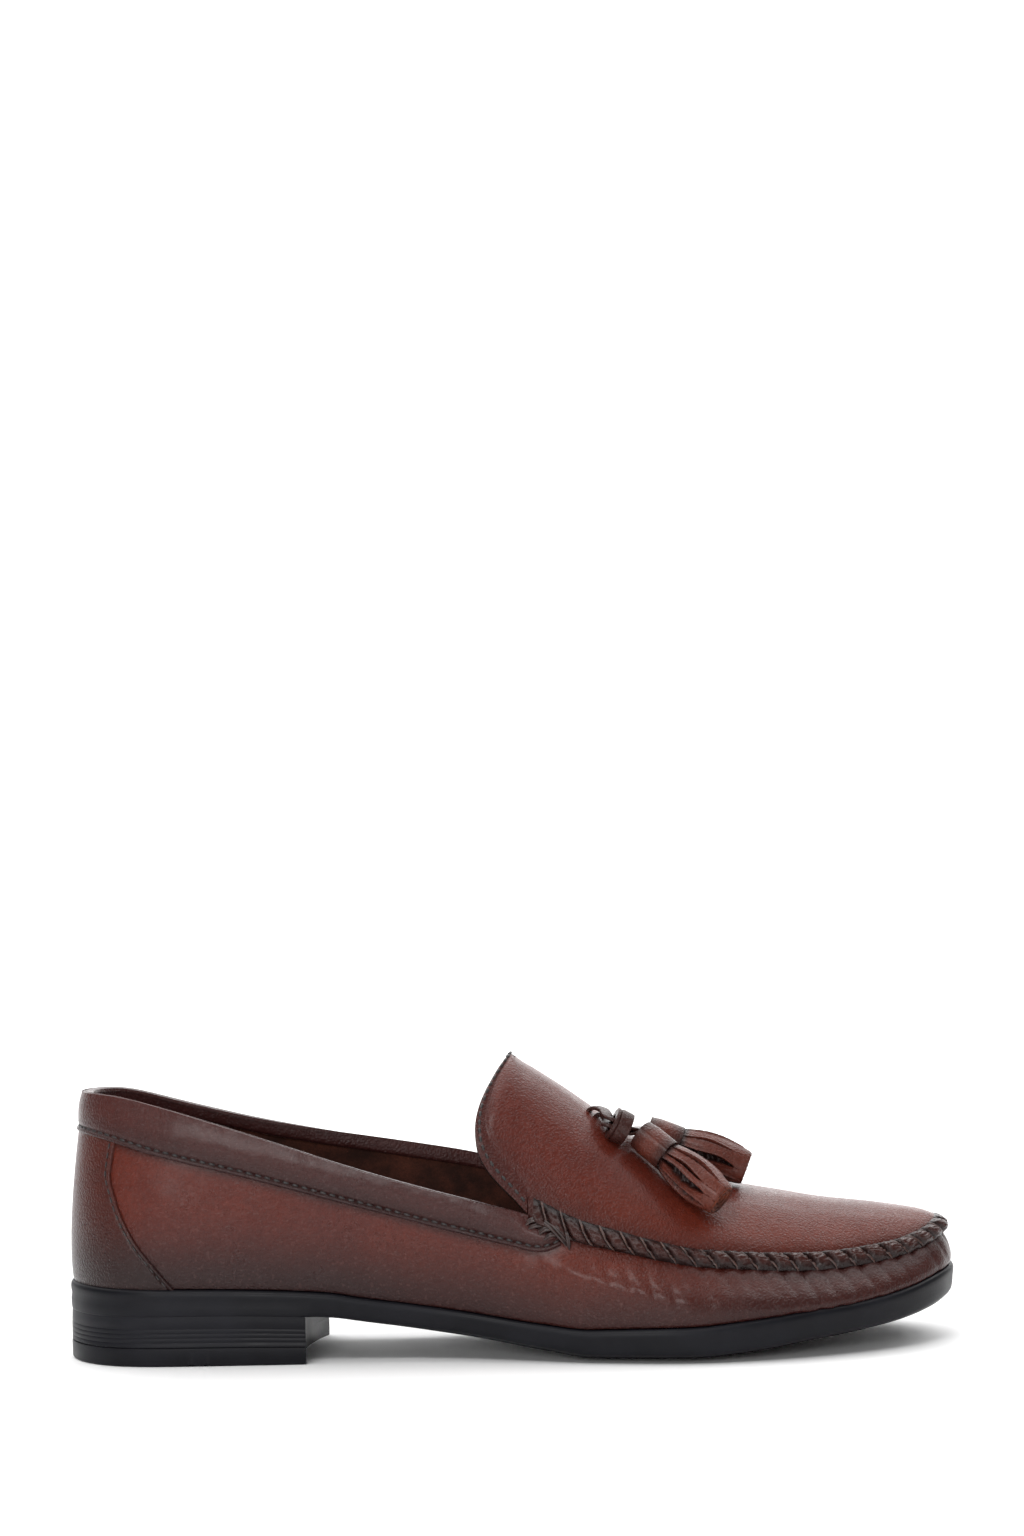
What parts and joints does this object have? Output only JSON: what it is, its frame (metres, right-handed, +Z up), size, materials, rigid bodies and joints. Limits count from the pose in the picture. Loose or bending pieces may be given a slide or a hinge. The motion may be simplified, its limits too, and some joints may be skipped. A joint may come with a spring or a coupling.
{
  "type": "tassel loafer",
  "caption": "Right moccasin-style loafer with a raised hand-sewn apron seam, free tongue, collar band, laced ring with hanging tassels and a low stacked heel.",
  "frame": {"origin": "on the floor, under the middle of the shoe's overall length and width", "axes": "+X towards the toe, +Y towards the inner side of the foot, +Z up"},
  "size_m": [0.3001, 0.1048, 0.0988],
  "materials": {
    "outsole_rubber": "black moulded sole edge, satin",
    "heel_stack": "black stacked heel with fine layer lines, satin",
    "top_piece_rubber": "black top piece, matt",
    "insole_leather": "dark brown sock, matt",
    "upper_leather": "burnished reddish-brown grain leather, polished",
    "band_leather": "darker brown grain leather, polished",
    "counter_leather": "burnished reddish-brown grain leather, polished",
    "seam_leather": "gathered dark leather with whip stitches",
    "ring_leather": "wound leather strip, satin",
    "lace_leather": "thin dark leather lace, satin",
    "tassel_leather": "thin reddish-brown leather with suede on its cut edges"
  },
  "bodies": {
    "root": {"outsole": "outsole_rubber", "heel_block": "heel_stack", "top_piece": "top_piece_rubber", "insole": "insole_leather", "upper": "upper_leather", "collar_band": "band_leather", "heel_counter": "counter_leather", "apron_seam": "seam_leather", "tie_ring": "ring_leather", "lace_upper": "lace_leather", "lace_lower": "lace_leather", "tassel_near": "tassel_leather", "tassel_far": "tassel_leather"}
  },
  "joints": []
}
